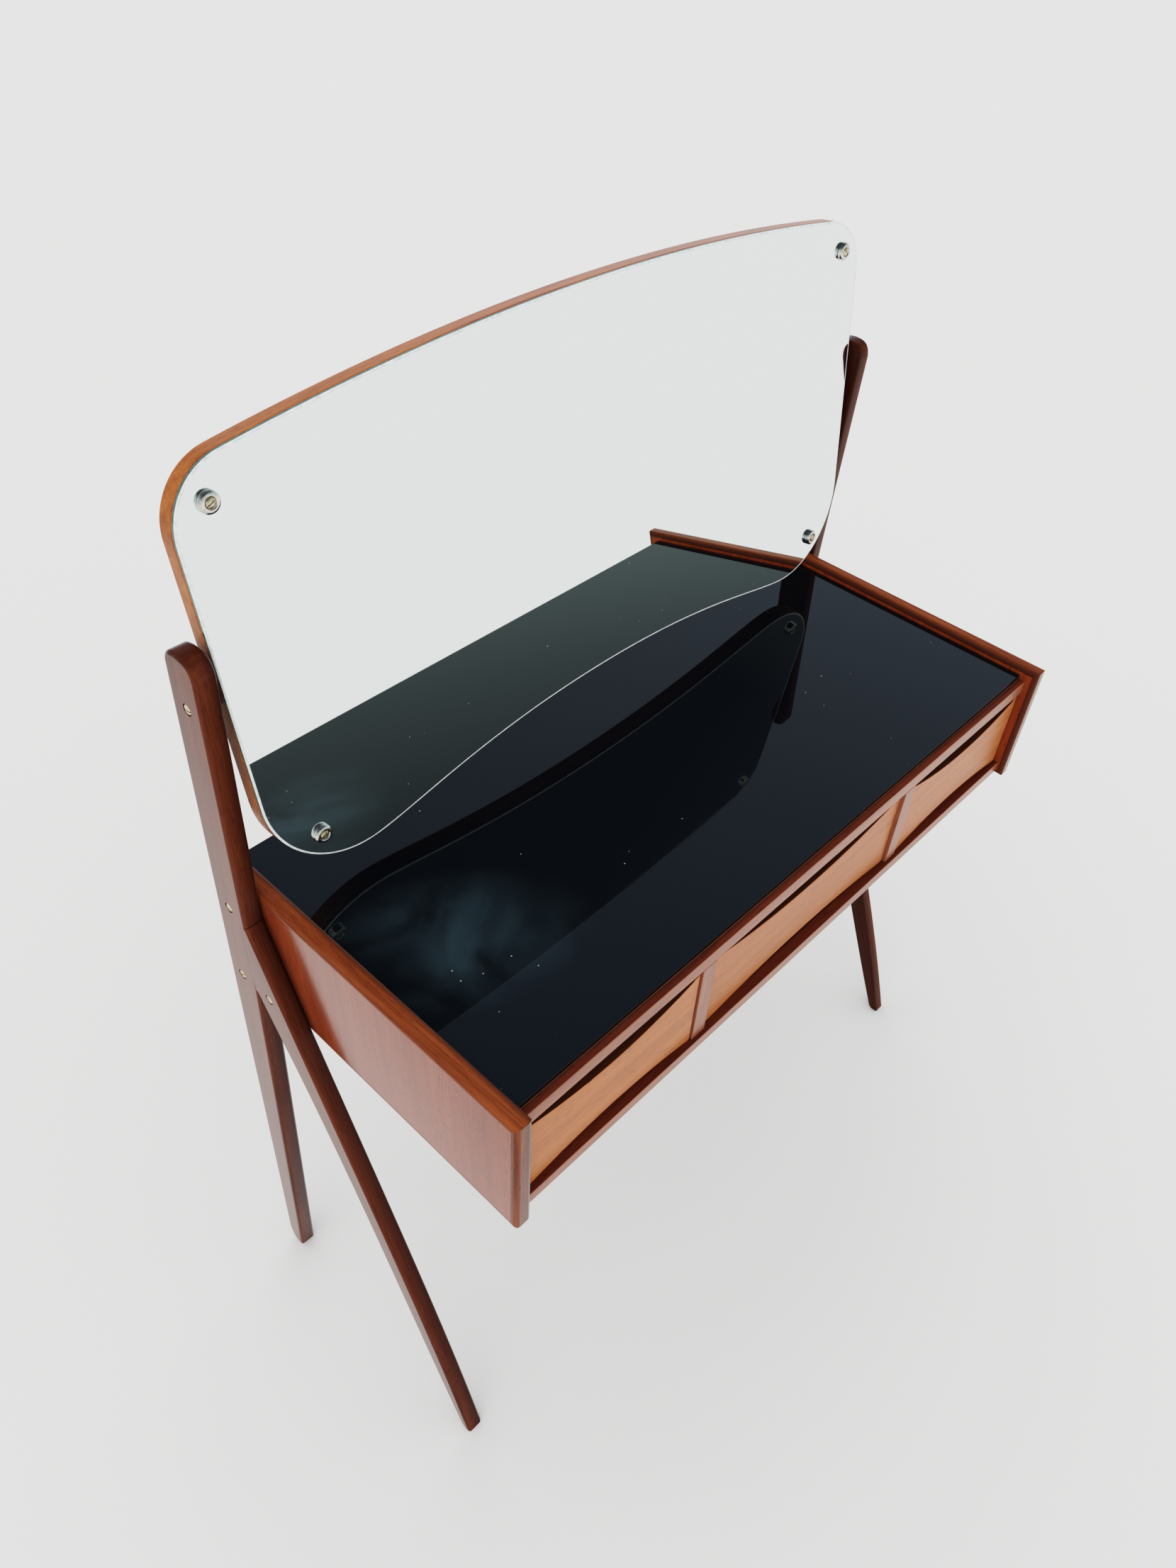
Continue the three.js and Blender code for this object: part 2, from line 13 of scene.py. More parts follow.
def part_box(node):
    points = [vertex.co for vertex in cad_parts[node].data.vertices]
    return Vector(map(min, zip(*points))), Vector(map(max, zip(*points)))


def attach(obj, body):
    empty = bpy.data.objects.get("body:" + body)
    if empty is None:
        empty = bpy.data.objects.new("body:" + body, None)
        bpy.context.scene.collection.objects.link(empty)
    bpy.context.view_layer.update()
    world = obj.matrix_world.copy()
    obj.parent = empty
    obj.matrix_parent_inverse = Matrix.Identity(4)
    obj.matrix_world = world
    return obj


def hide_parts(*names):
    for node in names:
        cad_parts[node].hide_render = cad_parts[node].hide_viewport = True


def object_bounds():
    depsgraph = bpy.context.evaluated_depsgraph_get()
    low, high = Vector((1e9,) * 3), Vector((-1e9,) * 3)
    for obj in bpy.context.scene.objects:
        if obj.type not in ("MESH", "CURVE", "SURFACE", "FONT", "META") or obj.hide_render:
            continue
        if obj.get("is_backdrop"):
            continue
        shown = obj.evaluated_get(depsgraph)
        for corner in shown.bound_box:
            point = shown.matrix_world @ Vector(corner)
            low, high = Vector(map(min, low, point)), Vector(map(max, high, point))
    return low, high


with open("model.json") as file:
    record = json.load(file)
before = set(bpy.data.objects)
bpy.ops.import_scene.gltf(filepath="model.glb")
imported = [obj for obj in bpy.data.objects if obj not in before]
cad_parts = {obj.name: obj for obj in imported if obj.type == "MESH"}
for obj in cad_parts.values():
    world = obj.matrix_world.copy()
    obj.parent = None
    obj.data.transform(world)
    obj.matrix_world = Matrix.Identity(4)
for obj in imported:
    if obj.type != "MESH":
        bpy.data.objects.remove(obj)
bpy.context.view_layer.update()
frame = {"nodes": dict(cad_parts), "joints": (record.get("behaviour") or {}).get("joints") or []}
mm = 0.001

# ---------------------------------------------------------------- camera
# A tall view from the front left, well above the table top and close to it, so the mirror and
# the near leg loom and the legs run down and away. The camera leans a little.
heading = math.radians(48.83)
dip = math.radians(-43.2)
lean = math.radians(3.67)
camera = bpy.data.objects.new("camera", bpy.data.cameras.new("camera"))
camera.data.lens = 27.22
camera.data.sensor_width = 36
camera.data.clip_start = 0.01
turn = (Matrix.Rotation(-heading, 4, "Z") @ Matrix.Rotation(math.pi / 2 + dip, 4, "X")
        @ Matrix.Rotation(lean, 4, "Z"))
camera.matrix_world = Matrix.Translation((-0.7678, -0.551, 1.5586)) @ turn
bpy.context.scene.collection.objects.link(camera)
bpy.context.scene.camera = camera

# ---------------------------------------------------------------- studio
# A wide floor left in the plain default finish, soft light from all round with a little more
# from the upper left and from behind, and a film curve that holds the bright floor back and
# lets the dark wood go deep.
scene = bpy.context.scene
scene.view_settings.view_transform = "Standard"
scene.view_settings.use_curve_mapping = True
film = scene.view_settings.curve_mapping
film_white = 2.0
film.white_level = (film_white, film_white, film_white)
film_curve = [(0.03, 0.017), (0.1, 0.075), (0.25, 0.225), (0.5, 0.435), (0.8, 0.61),
              (1.2, 0.765), (1.6, 0.86)]
for bright, shown in film_curve:
    film.curves[3].points.new(bright / film_white, shown)
film.curves[3].points[-1].location = (1, 0.92)
film.update()
scene.cycles.use_denoising = True
scene.cycles.max_bounces = 12


def put(tree, kind, settings=None, indexed=None, **sockets):
    """Adds a shader node. Socket values may be numbers, colours or other nodes' sockets."""
    made = tree.nodes.new(kind)
    for key, value in (settings or {}).items():
        setattr(made, key, value)
    wanted = [(made.inputs[k.replace("_", " ")], v) for k, v in sockets.items()]
    wanted += [(made.inputs[i], v) for i, v in (indexed or {}).items()]
    for socket, value in wanted:
        if isinstance(value, bpy.types.NodeSocket):
            tree.links.new(value, socket)
        else:
            socket.default_value = value
    return made


def new_material(name):
    made = bpy.data.materials.new(name)
    made.use_nodes = True
    tree = made.node_tree
    return made, tree, tree.nodes["Principled BSDF"]


def grade(tree, value, low, high, out_low=0.0, out_high=1.0):
    """A value stretched from one range to another and held inside it."""
    made = put(tree, "ShaderNodeMapRange", indexed={0: value, 1: low, 2: high, 3: out_low,
                                                    4: out_high})
    return made.outputs[0]


def blend(tree, amount, below, above, mode="MIX"):
    """Two colours mixed by an amount."""
    made = put(tree, "ShaderNodeMix", {"data_type": "RGBA", "blend_type": mode},
               indexed={0: amount, 6: below, 7: above})
    return made.outputs[2]


floor_radius = 40
floor_mesh = bmesh.new()
bmesh.ops.create_circle(floor_mesh, cap_ends=True, segments=96, radius=floor_radius)
floor_data = bpy.data.meshes.new("floor")
floor_mesh.to_mesh(floor_data)
floor_mesh.free()
floor = bpy.data.objects.new("floor", floor_data)
scene.collection.objects.link(floor)
floor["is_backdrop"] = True

dome_strength = 1.25
world = bpy.data.worlds.new("studio")
scene.world = world
world.use_nodes = True
tree = world.node_tree
sky = tree.nodes["Background"]
aim = put(tree, "ShaderNodeTexCoord").outputs["Generated"]
apart = put(tree, "ShaderNodeSeparateXYZ", Vector=aim).outputs
behind = blend(tree, grade(tree, apart["Z"], 0.1, 0.9), (1.05, 1.2, 1.38, 1),
               (0.15, 0.21, 0.3, 1))
before = blend(tree, grade(tree, apart["Z"], 0.3, 0.7), (0.75, 0.9, 0.9, 1),
               (0.06, 0.07, 0.085, 1))
mirrored = blend(tree, grade(tree, apart["Y"], -0.25, 0.25), before, behind)
ray = put(tree, "ShaderNodeLightPath").outputs["Is Glossy Ray"]
even = (dome_strength, dome_strength, dome_strength, 1)
tree.links.new(blend(tree, ray, even, mirrored), sky.inputs["Color"])


def soft_sun(name, toward, strength, spread, colour):
    """A wide soft light from far away. It lights surfaces but is not mirrored in them."""
    lamp = bpy.data.lights.new(name, "SUN")
    lamp.energy = strength
    lamp.angle = math.radians(spread)
    lamp.color = colour
    made = bpy.data.objects.new(name, lamp)
    made.rotation_euler = Vector(toward).to_track_quat("-Z", "Y").to_euler()
    made.visible_glossy = False
    scene.collection.objects.link(made)


soft_sun("window_light", (0.75, 0.3, -0.75), 0.9, 70, (1, 0.98, 0.95))
soft_sun("back_light", (-0.3, -0.75, -1.3), 0.5, 50, (1, 0.99, 0.97))

# ---------------------------------------------------------------- legs and uprights
# Solid dark teak, 20 mm thick. Each rear leg and mirror post is one board that leans forward
# as it rises; the front leg is let into its front edge and glued. All long arrises are rounded.
leg_pale = (0.15, 0.042, 0.018, 1)
leg_deep = (0.07, 0.014, 0.007, 1)
leg_round = 3.6 * mm
leg_joint = [(338.4, 699.1), (347.2, 695.6), (344.3, 600.0)]
leg_grain = {"upright": math.atan(0.052), "front": math.atan(0.415)}
front_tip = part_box("top_lipping_left")[0][1]


def side_view(points):
    """Outline points given in mm as (behind the front tip, above the floor)."""
    return [Vector((0, front_tip + y * mm, z * mm)) for y, z in points]


def slow_curve(start, pull_start, pull_end, end, steps):
    """A curve through two points with two pulls; its last point is left to the next line."""
    knots = [Vector((*p, 0)) for p in (start, pull_start, pull_end, end)]
    return [(p.x, p.y) for p in interpolate_bezier(*knots, steps + 1)[:-1]]


def prism(points, push, arris=0.0, segments=4):
    """An outline pushed along `push`, the arrises of its two flat faces rounded."""
    bm = bmesh.new()
    face = bm.faces.new([bm.verts.new(p) for p in points])
    far = [v for v in bmesh.ops.extrude_face_region(bm, geom=[face])["geom"]
           if isinstance(v, bmesh.types.BMVert)]
    bmesh.ops.translate(bm, verts=far, vec=push)
    if arris:
        across = Vector(push).normalized()
        rim = [e for e in bm.edges
               if abs((e.verts[0].co - e.verts[1].co).normalized().dot(across)) < 0.5]
        bmesh.ops.bevel(bm, geom=rim, offset=arris, segments=segments, profile=0.5,
                        affect="EDGES", material=-1, clamp_overlap=True)
    bmesh.ops.recalc_face_normals(bm, faces=bm.faces)
    return bm


def loose_object(name, bm):
    data = bpy.data.meshes.new(name)
    bm.to_mesh(data)
    bm.free()
    made = bpy.data.objects.new(name, data)
    scene.collection.objects.link(made)
    return made


def cut(bm, cutters):
    """Takes the cutters' shapes out of a solid."""
    body = loose_object("being_cut", bm)
    tools = [loose_object("cutter", cutter) for cutter in cutters]
    for tool in tools:
        step = body.modifiers.new("cut", "BOOLEAN")
        step.object = tool
        step.solver = "EXACT"
        step.operation = "DIFFERENCE"
    seen = body.evaluated_get(bpy.context.evaluated_depsgraph_get())
    result = bmesh.new()
    result.from_mesh(seen.to_mesh())
    for spent in [body, *tools]:
        bpy.data.objects.remove(spent)
    return result


def plug(place, axis, radius, length, segments=48):
    """A plain round cutter standing on `place` and running along `axis`."""
    bm = bmesh.new()
    turned = Vector((0, 0, 1)).rotation_difference(Vector(axis)).to_matrix().to_4x4()
    middle = Matrix.Translation(Vector(place) + Vector(axis) * length / 2)
    bmesh.ops.create_cone(bm, cap_ends=True, segments=segments, radius1=radius, radius2=radius,
                          depth=length, matrix=middle @ turned)
    return bm


def add_piece(name, bm, material, body, nodes, sharp=35):
    """Turns a finished bmesh into a piece that rides on a body and stands for CAD nodes."""
    bmesh.ops.remove_doubles(bm, verts=bm.verts, dist=0.002 * mm)
    piece = loose_object(name, bm)
    piece.data.materials.append(material)
    piece.data.shade_smooth()
    piece.data.set_sharp_from_angle(angle=math.radians(sharp))
    even = piece.modifiers.new("even_shading", "WEIGHTED_NORMAL")
    even.keep_sharp = True
    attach(piece, body)
    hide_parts(*nodes)
    return piece


def build_timber():
    """Teak: broad soft bands, fine fibres and short dark pores, all drawn out along Z."""
    group = bpy.data.node_groups.new("timber", "ShaderNodeTree")
    face = group.interface
    face.new_socket("Vector", in_out="INPUT", socket_type="NodeSocketVector")
    for name in ("Pale", "Deep", "Pore"):
        face.new_socket(name, in_out="INPUT", socket_type="NodeSocketColor")
    for name in ("Band Width", "Pore Amount"):
        face.new_socket(name, in_out="INPUT", socket_type="NodeSocketFloat")
    face.new_socket("Color", in_out="OUTPUT", socket_type="NodeSocketColor")
    face.new_socket("Height", in_out="OUTPUT", socket_type="NodeSocketFloat")
    given = group.nodes.new("NodeGroupInput").outputs
    out = group.nodes.new("NodeGroupOutput")

    def stretched(vector, scale):
        made = put(group, "ShaderNodeVectorMath", {"operation": "MULTIPLY"},
                   indexed={0: vector, 1: scale})
        return made.outputs[0]

    drift = put(group, "ShaderNodeTexNoise", Vector=stretched(given["Vector"], (9, 9, 4)),
                Scale=1.0, Detail=2.0).outputs["Color"]
    wavy = put(group, "ShaderNodeVectorMath", {"operation": "MULTIPLY_ADD"},
               indexed={0: drift, 1: (0.012, 0.012, 0), 2: given["Vector"]}).outputs[0]
    bands = put(group, "ShaderNodeTexNoise", Vector=stretched(wavy, (1, 1, 0.03)),
                Scale=given["Band Width"], Detail=4.0, Roughness=0.62,
                Distortion=0.4).outputs[0]
    broad = put(group, "ShaderNodeTexNoise", Vector=stretched(wavy, (14, 14, 1.2)),
                Scale=1.0, Detail=2.0).outputs[0]
    fibre = put(group, "ShaderNodeTexNoise", Vector=stretched(wavy, (850, 850, 22)),
                Scale=1.0, Detail=3.0, Roughness=0.6).outputs[0]
    pore = put(group, "ShaderNodeTexNoise", Vector=stretched(wavy, (1100, 1100, 75)),
               Scale=1.0, Detail=1.0, Roughness=0.4).outputs[0]
    mixed = put(group, "ShaderNodeMath", {"operation": "MULTIPLY_ADD"},
                indexed={0: broad, 1: 0.5, 2: bands}).outputs[0]
    ground = blend(group, grade(group, mixed, 0.5, 1.0), given["Deep"], given["Pale"])
    shade = grade(group, fibre, 0.3, 0.7, 0.8, 1.12)
    shaded = blend(group, 1.0, ground, shade, "MULTIPLY")
    holes = grade(group, pore, 0.64, 0.72)
    dotted = put(group, "ShaderNodeMath", {"operation": "MULTIPLY"},
                 indexed={0: holes, 1: given["Pore Amount"]}).outputs[0]
    group.links.new(blend(group, dotted, shaded, given["Pore"]), out.inputs["Color"])
    relief = put(group, "ShaderNodeMath", {"operation": "SUBTRACT"},
                 indexed={0: fibre, 1: dotted}).outputs[0]
    group.links.new(relief, out.inputs["Height"])
    return group


timber = build_timber()


def wood(name, grain, pale, deep, pore_amount=0.55, bands=120.0, gloss=0.25, sheen=0.9,
         shift=(0, 0, 0), relief=0.05, aslant_from=0.5, aslant_to=0.7):
    """Oiled teak, its fibres along `grain`. Its sheen comes up only where it is seen aslant."""
    made, tree, shader = new_material(name)
    turned = Vector(grain).rotation_difference(Vector((0, 0, 1))).to_euler()
    where = put(tree, "ShaderNodeTexCoord").outputs["Object"]
    mapped = put(tree, "ShaderNodeMapping", Vector=where, Rotation=turned, Location=shift)
    pore = tuple(0.25 * c for c in deep[:3]) + (1,)
    teak = put(tree, "ShaderNodeGroup", {"node_tree": timber}, Vector=mapped.outputs[0],
               Pale=pale, Deep=deep, Pore=pore, Band_Width=bands, Pore_Amount=pore_amount)
    bump = put(tree, "ShaderNodeBump", Height=teak.outputs["Height"], Strength=relief,
               Distance=0.0004)
    tree.links.new(teak.outputs["Color"], shader.inputs["Base Color"])
    rough = grade(tree, teak.outputs["Height"], 0.2, 0.8, gloss - 0.05, gloss + 0.07)
    tree.links.new(rough, shader.inputs["Roughness"])
    tree.links.new(bump.outputs[0], shader.inputs["Normal"])
    shader.inputs["IOR"].default_value = 1.16
    aslant = put(tree, "ShaderNodeLayerWeight", Blend=0.5).outputs["Facing"]
    tree.links.new(grade(tree, aslant, aslant_from, aslant_to, 0.0, sheen),
                   shader.inputs["Coat Weight"])
    shader.inputs["Coat Roughness"].default_value = gloss
    shader.inputs["Coat IOR"].default_value = 1.42
    shader.inputs["Sheen Weight"].default_value = 0.08 * sheen
    shader.inputs["Sheen Roughness"].default_value = 0.35
    shader.inputs["Sheen Tint"].default_value = (1, 0.66, 0.4, 1)
    return made


def upright_outline():
    points = [(387.8, 0), (343.5, 600), (338.4, 699.1)]
    points += slow_curve((328.3, 991), (329, 1001), (333, 1007), (341, 1008.3), 8)
    points += slow_curve((341, 1008.3), (347, 1009.3), (352, 1009.2), (358, 1007.8), 6)
    points += slow_curve((358, 1007.8), (365, 1006), (368.8, 1001), (369.3, 993), 8)
    points += slow_curve((410.9, 28), (410.5, 12), (407, 3), (399, 0), 8)
    return side_view(points + [(399, 0)])


def front_leg_outline():
    points = slow_curve((55, 0), (129, 233), (244, 466), (337, 699), 24)
    points += [(337, 699), (358, 744), (358, 600)]
    points += slow_curve((343.2, 600), (326, 566), (316, 548), (306.4, 531), 6)
    points += slow_curve((306.4, 531), (212.4, 354), (149.4, 177), (70.5, 5), 20)
    return side_view(points + [(70.5, 5), (66, 0)])


screw_places = [(360.7, 712.3), (366.1, 608.4), (321.9, 609.2)]
pivot_place = (349.1, 956.0)
bore_radius = 5.7 * mm
bore_depth = 4.2 * mm
pivot_hole_radius = 3.3 * mm
bore_mouth = 2 * mm
overcut = 4 * mm

leg_wood = {
    "upright": wood("upright_teak", (0, -math.sin(leg_grain["upright"]), 1), leg_pale, leg_deep,
                    0.5, 120.0, 0.24, 0.62, aslant_from=0.56),
    "front": wood("front_leg_teak", (0, math.sin(leg_grain["front"]),
                                     math.cos(leg_grain["front"])), leg_pale, leg_deep,
                  0.5, 120.0, 0.24, 0.62, aslant_from=0.56),
}


def darken(teak, lit_x, shaded_x, most, colour, clean_z=2.0, dark_z=2.1, top=0.0):
    """Paints shade on a piece's inner side from `lit_x` to `shaded_x`, and makes its end-grain
    top darker from `clean_z` up to `dark_z`.
    """
    tree = teak.node_tree
    shader = tree.nodes["Principled BSDF"]
    plain = shader.inputs["Base Color"].links[0].from_socket
    where = put(tree, "ShaderNodeTexCoord").outputs["Object"]
    apart = put(tree, "ShaderNodeSeparateXYZ", Vector=where).outputs
    out_from_middle = put(tree, "ShaderNodeMath", {"operation": "ABSOLUTE"},
                          indexed={0: apart["X"]}).outputs[0]
    inner = grade(tree, out_from_middle, lit_x, shaded_x, 0.0, most)
    crown = grade(tree, apart["Z"], clean_z, dark_z, 0.0, top)
    inner_shade_and_end_grain = put(tree, "ShaderNodeMath", {"operation": "MAXIMUM"},
                  indexed={0: inner, 1: crown}).outputs[0]
    tree.links.new(blend(tree, inner_shade_and_end_grain, plain, colour), shader.inputs["Base Color"])


# Painted shade: each leg and post is painted darker toward its inner side. The end-grain top of
# each post is darker too.
for teak in leg_wood.values():
    darken(teak, lit_x=0.447, shaded_x=0.433, most=0.8, colour=(0.025, 0.005, 0.003, 1),
           clean_z=1.0, dark_z=1.006, top=0.6)

for side, way in (("left", -1), ("right", 1)):
    leg_low, leg_high = (corner[0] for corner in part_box(f"rear_upright_{side}"))
    outer = leg_low if way < 0 else leg_high
    thick = Vector((leg_high - leg_low, 0, 0))
    wide = thick + Vector((2 * overcut, 0, 0))

    def slab(points, push, start, arris=0.0):
        return prism([p + Vector((start, 0, 0)) for p in points], push, arris)

    def bores(places):
        mouth = outer + way * bore_mouth
        return [plug((mouth, *p.yz), (-way, 0, 0), bore_radius, bore_depth + bore_mouth)
                for p in side_view(places)]

    head = side_view([(300, 714), leg_joint[0], leg_joint[1], leg_joint[2], (343.9, 599.7),
                      (280, 599.7)])
    seat = side_view([(300, 715), (338.5, 699.3), (347.4, 695.8), (344.5, 600), (344.5, 598),
                      (480, 598), (480, 800), (300, 800)])
    post = slab(upright_outline(), thick, leg_low, leg_round)
    pivot_at = side_view([pivot_place])[0]
    pivot_hole = plug((leg_low - overcut, *pivot_at.yz), (1, 0, 0), pivot_hole_radius, wide.x)
    post = cut(post, [slab(head, wide, leg_low - overcut), *bores(screw_places[:2]),
                      *bores([pivot_place]), pivot_hole])
    add_piece(f"mirror_post_{side}", post, leg_wood["upright"], "frame",
              [f"rear_upright_{side}"])
    leg = slab(front_leg_outline(), thick, leg_low, leg_round)
    leg = cut(leg, [slab(seat, wide, leg_low - overcut), *bores(screw_places[2:])])
    add_piece(f"splayed_leg_{side}", leg, leg_wood["front"], "frame",
              [f"front_leg_{side}"])

# ---------------------------------------------------------------- side panels and edgings
# Veneered board, its grain upright, edged on three sides with 6 mm of solid teak. The edgings
# are rounded over and meet in mitres; a fine dark line shows where they join the veneer.
veneer_pale = (0.27, 0.058, 0.017, 1)
veneer_deep = (0.18, 0.028, 0.009, 1)
edging_pale = (0.29, 0.08, 0.024, 1)
edging_deep = (0.1, 0.02, 0.008, 1)
edging_round = 5.5 * mm
mitre_round = 1.2 * mm
panel_round = 0.25 * mm
near = 1 * mm


def block(low, high):
    """A squared board between two corners."""
    bm = bmesh.new()
    size = Vector(high) - Vector(low)
    place = Matrix.Translation((Vector(low) + Vector(high)) / 2) @ Matrix.Diagonal((*size, 1))
    bmesh.ops.create_cube(bm, size=1, matrix=place)
    return bm


def ease(bm, reach, choose, segments=4):
    """Rounds the edges that `choose` picks by their middle point and direction."""
    picked = [e for e in bm.edges
              if choose((e.verts[0].co + e.verts[1].co) / 2,
                        (e.verts[1].co - e.verts[0].co).normalized())]
    bmesh.ops.bevel(bm, geom=picked, offset=reach, segments=segments, profile=0.5,
                    affect="EDGES", material=-1, clamp_overlap=True)
    return bm


def saw(bm, point, normal):
    """Cuts off what lies beyond a plane and closes the cut."""
    geometry = bm.verts[:] + bm.edges[:] + bm.faces[:]
    done = bmesh.ops.bisect_plane(bm, geom=geometry, plane_co=point, plane_no=normal,
                                  clear_outer=True)
    rim = [e for e in done["geom_cut"] if isinstance(e, bmesh.types.BMEdge)]
    bmesh.ops.contextual_create(bm, geom=rim)
    return bm


veneer = wood("side_veneer", (0, 0.04, 1), veneer_pale, veneer_deep, 0.8, 90.0, 0.15, 0.9)
edging_flat = wood("edging_teak_lying", (0, 1, 0.01), edging_pale, edging_deep, 0.5, 130.0,
                   0.25, 0.8)
edging_up = wood("edging_teak_standing", (0, 0.02, 1), edging_pale, edging_deep, 0.5, 130.0,
                 0.25, 0.8)
# Painted shade: the edgings are painted darker along their inner side, beside the black glass.
darken(edging_flat, lit_x=0.419, shaded_x=0.4115, most=0.85, colour=(0.03, 0.007, 0.005, 1))
darken(edging_up, lit_x=0.424, shaded_x=0.412, most=0.8, colour=(0.05, 0.01, 0.006, 1))

# Painted shade and reflection: beside the leg the veneer is painted a deep red for the leg's
# shadow and its dark reflection.
leg_shade_line = (0, 1, -0.38)
leg_shade_reach = (-0.148, -0.133)
leg_shade_depth = (0.18, 0.165)
tree = veneer.node_tree
shader = tree.nodes["Principled BSDF"]
plain_veneer_colour = shader.inputs["Base Color"].links[0].from_socket
where = put(tree, "ShaderNodeTexCoord").outputs["Object"]
beside_leg = put(tree, "ShaderNodeVectorMath", {"operation": "DOT_PRODUCT"},
                 indexed={0: where, 1: leg_shade_line}).outputs["Value"]
depth_along = put(tree, "ShaderNodeSeparateXYZ", Vector=where).outputs["Y"]
leg_shade_mask = put(tree, "ShaderNodeMath", {"operation": "MULTIPLY"},
              indexed={0: grade(tree, beside_leg, *leg_shade_reach),
                       1: grade(tree, depth_along, *leg_shade_depth)}).outputs[0]
tree.links.new(blend(tree, leg_shade_mask, plain_veneer_colour, (0.07, 0.005, 0.003, 1)), shader.inputs["Base Color"])

for side in ("left", "right"):
    low, high = map(Vector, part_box(f"side_panel_{side}"))
    panel = ease(block(low, high), panel_round, lambda p, d: True, 2)
    add_piece(f"veneered_side_{side}", panel, veneer, "frame",
              [f"side_panel_{side}"])

    low, high = map(Vector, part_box(f"top_lipping_{side}"))
    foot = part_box(f"bottom_lipping_{side}")[0][2]
    corner_top = Vector((0, low.y, high.z))
    corner_foot = Vector((0, low.y, foot))
    rail = ease(block(low, high), edging_round,
                lambda p, d: abs(d.y) > 0.9 and p.z > high.z - near, 8)
    rail = saw(rail, corner_top, (0, -1, -1))
    add_piece(f"top_edging_{side}", rail, edging_flat, "frame",
              [f"top_lipping_{side}"])

    low, high = map(Vector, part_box(f"front_lipping_{side}"))
    front_y = low.y
    rail = ease(block(low, high), edging_round,
                lambda p, d: abs(d.z) > 0.9 and p.y < front_y + near, 8)
    rail = saw(saw(rail, corner_top, (0, 1, 1)), corner_foot, (0, 1, -1))
    rail = ease(rail, mitre_round, lambda p, d: p.y < front_y + 0.2 * mm and abs(d.x) > 0.9)
    add_piece(f"front_edging_{side}", rail, edging_up, "frame",
              [f"front_lipping_{side}"])

    low, high = map(Vector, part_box(f"bottom_lipping_{side}"))
    rail = ease(block(low, high), edging_round,
                lambda p, d: abs(d.y) > 0.9 and p.z < low.z + near, 8)
    rail = saw(rail, corner_foot, (0, -1, 1))
    add_piece(f"bottom_edging_{side}", rail, edging_flat, "frame",
              [f"bottom_lipping_{side}"])

# ---------------------------------------------------------------- rails, dividers and boards
# Solid teak rails run across above and below the drawers, with two short posts between them.
# Behind them are the case's boards and a hardboard back in a dark brown stain. Painted shade:
# the bottom board and the rails' top faces take darker copies of the teak.
rail_pale = (0.36, 0.13, 0.07, 1)
rail_deep = (0.2, 0.07, 0.038, 1)
rail_arris = 0.9 * mm
divider_arris = 0.7 * mm
rail_wood = wood("rail_teak_across", (1, 0, 0.01), rail_pale, rail_deep, 0.5, 130.0, 0.32, 0.8,
                 aslant_from=0.4)
# Painted shade: the rails' top faces take a darker copy of the teak.
rail_top_painted_shade = wood("rail_teak_upper_painted_shade", (1, 0, 0.01), (0.14, 0.03, 0.014, 1),
                     (0.06, 0.012, 0.007, 1), 0.5, 130.0, 0.35, 0.3)
post_wood = wood("divider_teak", (0, 0.01, 1), rail_pale, rail_deep, 0.5, 130.0, 0.32, 0.9,
                 aslant_from=0.4)

for node in ("top_front_rail", "bottom_front_rail"):
    bar = ease(block(*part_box(node)), rail_arris, lambda p, d: abs(d.x) > 0.9, 3)
    for face in bar.faces:
        if face.normal.z > 0.9:
            face.material_index = 1
    bar = add_piece(f"{node}_teak", bar, rail_wood, "frame", [node])
    bar.data.materials.append(rail_top_painted_shade)
for side in ("left", "right"):
    post = ease(block(*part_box(f"divider_{side}")), divider_arris,
                lambda p, d: abs(d.z) > 0.9 or abs(d.x) > 0.9, 3)
    add_piece(f"drawer_divider_{side}", post, post_wood, "frame",
              [f"divider_{side}"])

plain_wood = wood("plain_board", (1, 0, 0), (0.2, 0.1, 0.05, 1), (0.13, 0.06, 0.03, 1), 0.4,
                  60.0, 0.6, 0.2)
# Painted shade: the bottom board is painted near black for the dim space under the drawers.
shaded_board_wood = wood("board_painted_shade", (1, 0, 0.01), (0.05, 0.012, 0.008, 1), (0.03, 0.007, 0.005, 1),
                 0.4, 90.0, 0.4, 0.3)
back_wood = wood("stained_back", (1, 0, 0.02), (0.09, 0.035, 0.018, 1),
                 (0.05, 0.018, 0.01, 1), 0.3, 60.0, 0.5, 0.3)


def repaint(node, material):
    """Gives a CAD node a finished material in place of its plain one."""
    frame["nodes"][node].data.materials.clear()
    frame["nodes"][node].data.materials.append(material)


repaint("top_board", plain_wood)
repaint("bottom_board", shaded_board_wood)
repaint("back_panel", back_wood)

# ---------------------------------------------------------------- black glass top
# A loose sheet of opaque black glass, polished, lying between the sides and behind the front
# rail. It carries fine dust and one greyish patch that has been wiped.
sheet_arris = 0.6 * mm
smear_at = (-0.326, -0.024, 0.7204)
smear_size = (0.13, 0.085, 0.1)
black_glass, tree, shader = new_material("black_glass")
where = put(tree, "ShaderNodeTexCoord").outputs["Object"]
speck = put(tree, "ShaderNodeTexVoronoi", Vector=where, Scale=62.0,
            Randomness=1.0).outputs["Distance"]
rare = put(tree, "ShaderNodeTexNoise", Vector=where, Scale=9.0, Detail=1.0).outputs[0]
dust = put(tree, "ShaderNodeMath", {"operation": "MULTIPLY"},
           indexed={0: grade(tree, speck, 0.05, 0.02), 1: grade(tree, rare, 0.56, 0.62)})
haze = put(tree, "ShaderNodeTexNoise", Vector=where, Scale=7.0, Detail=3.0,
           Distortion=1.5).outputs[0]
around = put(tree, "ShaderNodeMapping", {"vector_type": "TEXTURE"}, Vector=where,
             Location=smear_at, Rotation=(0, 0, -0.5), Scale=smear_size)
